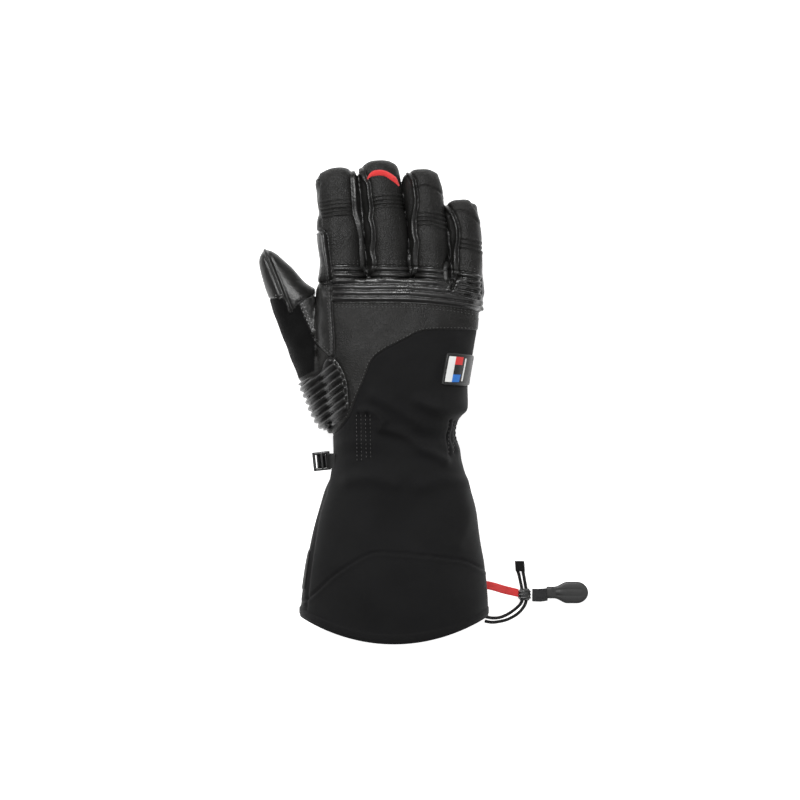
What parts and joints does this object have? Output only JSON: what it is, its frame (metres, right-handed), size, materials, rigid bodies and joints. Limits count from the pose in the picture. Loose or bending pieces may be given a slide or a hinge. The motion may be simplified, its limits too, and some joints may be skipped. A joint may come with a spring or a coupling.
{
  "type": "ski glove",
  "caption": "Insulated right-hand gauntlet ski glove with leather fingers, ribbed knuckles, a softshell cuff, a wrist strap buckle and a hem drawcord.",
  "frame": {"origin": "middle of the flat underside of the palm patch, on the surface that the glove lies on", "axes": "+Y towards the fingertips, +Z out of the back of the hand, -X towards the thumb"},
  "size_m": [0.2202, 0.3208, 0.0713],
  "materials": {
    "grain_leather": "satin black goatskin with a fine grain",
    "smooth_leather": "smooth black leather with a soft sheen",
    "softshell": "matte black softshell cloth",
    "suede": "deep black suede",
    "fleece_lining": "brushed dark grey lining",
    "red_webbing": "woven red webbing",
    "black_webbing": "woven black webbing",
    "elastic_cord": "braided black elastic cord",
    "glossy_plastic": "moulded black acetal",
    "grey_webbing": "woven grey webbing",
    "rubber_tab": "moulded dark grey rubber",
    "patch_rubber": "moulded rubber patch"
  },
  "bodies": {
    "hand": {"back_of_hand": "grain_leather", "softshell_back": "softshell", "palm_panel": "smooth_leather", "hand_liner": "fleece_lining", "knuckle_ribs": "smooth_leather", "thumb_base_ribs": "grain_leather", "index_side_strip": "smooth_leather", "rubber_patch": "patch_rubber", "palm_patch": "suede"},
    "cuff": {"gauntlet_back": "softshell", "hem_panel": "softshell", "side_gusset": "softshell", "gauntlet_palm": "softshell", "cuff_liner": "fleece_lining", "wrist_elastic": "black_webbing", "hem_binding": "softshell", "hem_cord": "elastic_cord", "side_tag": "black_webbing", "wrist_strap": "black_webbing", "buckle_loop": "black_webbing"},
    "index_base": {"index_back": "grain_leather", "index_palm": "smooth_leather", "index_liner": "fleece_lining", "index_finger_strip": "smooth_leather"},
    "index_end": {"index_tip": "smooth_leather", "index_ribs": "smooth_leather"},
    "middle_base": {"middle_back": "grain_leather", "middle_palm": "smooth_leather", "middle_liner": "fleece_lining"},
    "middle_end": {"middle_tip": "smooth_leather", "middle_ribs": "smooth_leather", "middle_piping": "red_webbing"},
    "ring_base": {"ring_back": "grain_leather", "ring_palm": "smooth_leather", "ring_liner": "fleece_lining"},
    "ring_end": {"ring_tip": "smooth_leather", "ring_ribs": "smooth_leather"},
    "little_base": {"little_back": "grain_leather", "little_palm": "smooth_leather", "little_liner": "fleece_lining"},
    "little_end": {"little_tip": "smooth_leather", "little_ribs": "smooth_leather"},
    "thumb_base": {"thumb_back": "suede", "thumb_palm": "suede", "thumb_liner": "fleece_lining", "thumb_patch": "smooth_leather"},
    "thumb_end": {"thumb_tip": "smooth_leather"},
    "buckle": {"ladder_buckle": "glossy_plastic"},
    "drawcord_set": {"red_webbing": "red_webbing", "cord_lock": "glossy_plastic", "drawcord": "elastic_cord"},
    "pull_tab": {"tab_webbing": "grey_webbing", "pull_tab": "rubber_tab"}
  },
  "joints": [
    {"name": "wrist_bend", "type": "hinge", "parent": "hand", "child": "cuff", "pos_m": [-0.003, -0.053, 0.03], "axis": [1, 0, 0], "range_deg": [-35, 35]},
    {"name": "index_knuckle", "type": "hinge", "parent": "hand", "child": "index_base", "pos_m": [-0.03798, 0.06162, 0.02109], "axis": [-0.9976, -0.0698, 0], "range_deg": [-5, 55]},
    {"name": "index_bend", "type": "hinge", "parent": "index_base", "child": "index_end", "pos_m": [-0.0404, 0.09624, 0.01652], "axis": [-0.9976, -0.0698, 0], "range_deg": [-5, 70]},
    {"name": "middle_knuckle", "type": "hinge", "parent": "hand", "child": "middle_base", "pos_m": [-0.00775, 0.0616, 0.02159], "axis": [-0.9942, -0.108, 0], "range_deg": [-5, 55]},
    {"name": "middle_bend", "type": "hinge", "parent": "middle_base", "child": "middle_end", "pos_m": [-0.01182, 0.09905, 0.01663], "axis": [-0.9942, -0.108, 0], "range_deg": [-5, 70]},
    {"name": "ring_knuckle", "type": "hinge", "parent": "hand", "child": "ring_base", "pos_m": [0.0207, 0.05789, 0.02059], "axis": [-0.9934, -0.1149, 0], "range_deg": [-5, 55]},
    {"name": "ring_bend", "type": "hinge", "parent": "ring_base", "child": "ring_end", "pos_m": [0.01706, 0.08941, 0.01641], "axis": [-0.9934, -0.1149, 0], "range_deg": [-5, 70]},
    {"name": "little_knuckle", "type": "hinge", "parent": "hand", "child": "little_base", "pos_m": [0.04527, 0.0516, 0.01809], "axis": [-0.9945, -0.1045, 0], "range_deg": [-5, 55]},
    {"name": "little_bend", "type": "hinge", "parent": "little_base", "child": "little_end", "pos_m": [0.04331, 0.07034, 0.01561], "axis": [-0.9945, -0.1045, 0], "range_deg": [-5, 70]},
    {"name": "thumb_swing", "type": "hinge", "parent": "hand", "child": "thumb_base", "pos_m": [-0.0505, -0.008, 0.019], "axis": [0.9135, 0.4067, 0], "range_deg": [-45, 12]},
    {"name": "thumb_bend", "type": "hinge", "parent": "thumb_base", "child": "thumb_end", "pos_m": [-0.073, 0.037, 0.015], "axis": [0.9135, 0.4067, 0], "range_deg": [-55, 5]},
    {"name": "buckle_tilt", "type": "hinge", "parent": "cuff", "child": "buckle", "pos_m": [-0.047, -0.07, 0.0307], "axis": [0, 1, 0], "range_deg": [0, 45]},
    {"name": "drawcord_swing", "type": "hinge", "parent": "cuff", "child": "drawcord_set", "pos_m": [0.0572, -0.153, 0.02], "axis": [-0.01, -0.9999, 0], "range_deg": [-50, 60]},
    {"name": "pull_tab_swing", "type": "hinge", "parent": "drawcord_set", "child": "pull_tab", "pos_m": [0.0884, -0.1605, 0.0042], "axis": [0, -1, 0], "range_deg": [-45, 45]}
  ]
}
